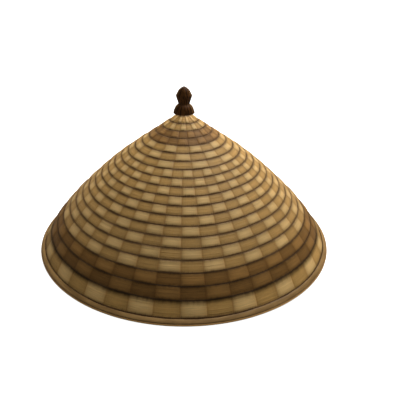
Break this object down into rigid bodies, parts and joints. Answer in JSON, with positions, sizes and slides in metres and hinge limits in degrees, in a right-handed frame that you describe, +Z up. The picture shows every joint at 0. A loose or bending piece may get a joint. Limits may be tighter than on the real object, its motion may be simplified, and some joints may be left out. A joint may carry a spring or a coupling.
{
  "type": "conical straw hat",
  "caption": "Conical hat of sewn straw plait with dyed bands, a bound rim and a turned wooden finial at its tip, worn on the head for shade.",
  "frame": {"origin": "centre of the circle that the hat rests on, at the underside of its rim binding", "axes": "+Z up along the hat's axis through the finial; the hat is round, and the picture's view is from -Y"},
  "size_m": [0.4198, 0.4198, 0.2197],
  "materials": {
    "natural_plait": "flat straw plait with a soft sheen along the straws",
    "brown_plait": "dyed straw plait, mid brown",
    "dark_brown_plait": "dyed straw plait, dark brown",
    "rim_cane": "smooth split cane, satin",
    "finial_wood": "dark turned wood, oiled",
    "peg_wood": "plain wood"
  },
  "bodies": {
    "root": {"tip_plait": "natural_plait", "upper_dark_plait": "brown_plait", "upper_crown_plait": "natural_plait", "middle_crown_plait": "natural_plait", "lower_crown_plait": "natural_plait", "lower_dark_plait": "dark_brown_plait", "edge_plait": "natural_plait", "rim_binding": "rim_cane", "finial": "finial_wood", "finial_peg": "peg_wood"}
  },
  "joints": []
}
